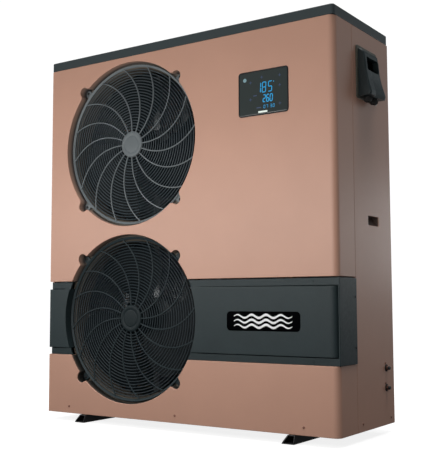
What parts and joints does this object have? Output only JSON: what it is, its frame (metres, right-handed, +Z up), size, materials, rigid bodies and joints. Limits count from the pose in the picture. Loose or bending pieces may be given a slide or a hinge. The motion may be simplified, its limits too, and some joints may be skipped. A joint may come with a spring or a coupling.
{
  "type": "pool heat pump",
  "caption": "Tall outdoor pool heat pump: sheet-metal cabinet with stacked fan outlets, dark band, glass display, side terminal cover and rear water unions.",
  "frame": {"origin": "centre of the footprint box on the ground", "axes": "+Z up; fan side faces -Y; +X to the right seen from the fan side; +Y towards the wall side"},
  "size_m": [1.1612, 0.454, 1.256],
  "materials": {
    "copper_paint": "satin",
    "lid_paint": "satin",
    "band_plastic": "satin",
    "badge_black": "satin",
    "grille_grey": "satin",
    "guard_wire": "satin",
    "fan_plastic": "matte",
    "galvanised_steel": "satin",
    "motor_shell": "satin",
    "shaft_steel": "satin",
    "coil_fins": "satin",
    "copper_tube": "satin",
    "brass_fitting": "satin",
    "black_paint": "satin",
    "grommet_rubber": "matte",
    "vessel_plastic": "satin",
    "union_plastic": "satin",
    "black_plastic": "satin",
    "display_window": "gloss",
    "circuit_board": "satin",
    "zinc_screw": "satin",
    "display_light": "satin"
  },
  "bodies": {
    "cabinet": {"base_pan": "galvanised_steel", "foot_left": "black_paint", "foot_right": "black_paint", "drain_spout": "black_plastic", "upper_front_panel": "copper_paint", "lower_front_panel": "copper_paint", "band_channel_left": "band_plastic", "band_channel_right": "band_plastic", "band_cover_left": "band_plastic", "band_cover_right": "band_plastic", "badge_plate": "badge_black", "left_side_panel": "copper_paint", "right_side_panel": "copper_paint", "rear_panel": "copper_paint", "rear_coil_guard": "guard_wire", "top_cover": "lid_paint", "partition_plate": "galvanised_steel", "grille_upper": "grille_grey", "grille_lower": "grille_grey", "fan_shroud_upper": "fan_plastic", "fan_shroud_lower": "fan_plastic", "fan_motor_upper": "motor_shell", "fan_motor_lower": "motor_shell", "fan_bracket": "galvanised_steel", "evaporator_coil": "coil_fins", "gas_header": "copper_tube", "expansion_valve": "brass_fitting", "compressor": "black_paint", "compressor_grommet_1": "grommet_rubber", "compressor_grommet_2": "grommet_rubber", "compressor_grommet_3": "grommet_rubber", "accumulator": "black_paint", "heat_exchanger": "vessel_plastic", "four_way_valve": "brass_fitting", "discharge_pipe": "copper_tube", "suction_pipe": "copper_tube", "coil_gas_pipe": "copper_tube", "exchanger_gas_pipe": "copper_tube", "liquid_pipe": "copper_tube", "union_tail_in": "union_plastic", "union_socket_in": "union_plastic", "union_tail_out": "union_plastic", "union_socket_out": "union_plastic", "flow_switch": "black_plastic", "electrical_box": "galvanised_steel", "control_board": "circuit_board", "terminal_block": "black_plastic", "heat_sink": "coil_fins", "display_bezel": "black_plastic", "display_glass": "display_window", "terminal_cover": "black_plastic", "cable_gland_power": "black_plastic", "cable_gland_control": "black_plastic", "service_ports": "brass_fitting"},
    "fan_upper": {"fan_rotor_upper": "fan_plastic", "fan_shaft_upper": "shaft_steel"},
    "fan_lower": {"fan_rotor_lower": "fan_plastic", "fan_shaft_lower": "shaft_steel"},
    "nut_in": {"union_nut_in": "union_plastic"},
    "nut_out": {"union_nut_out": "union_plastic"}
  },
  "joints": [
    {"name": "fan_upper_spin", "type": "hinge", "parent": "cabinet", "child": "fan_upper", "pos_m": [-0.22965, -0.141, 0.9285], "axis": [0, 1, 0], "continuous": true},
    {"name": "fan_lower_spin", "type": "hinge", "parent": "cabinet", "child": "fan_lower", "pos_m": [-0.22965, -0.141, 0.348], "axis": [0, 1, 0], "continuous": true},
    {"name": "union_nut_in_turn", "type": "hinge", "parent": "cabinet", "child": "nut_in", "pos_m": [0.42935, 0.198, 0.176], "axis": [0, 1, 0], "continuous": true},
    {"name": "union_nut_out_turn", "type": "hinge", "parent": "cabinet", "child": "nut_out", "pos_m": [0.42935, 0.198, 0.476], "axis": [0, 1, 0], "continuous": true}
  ]
}
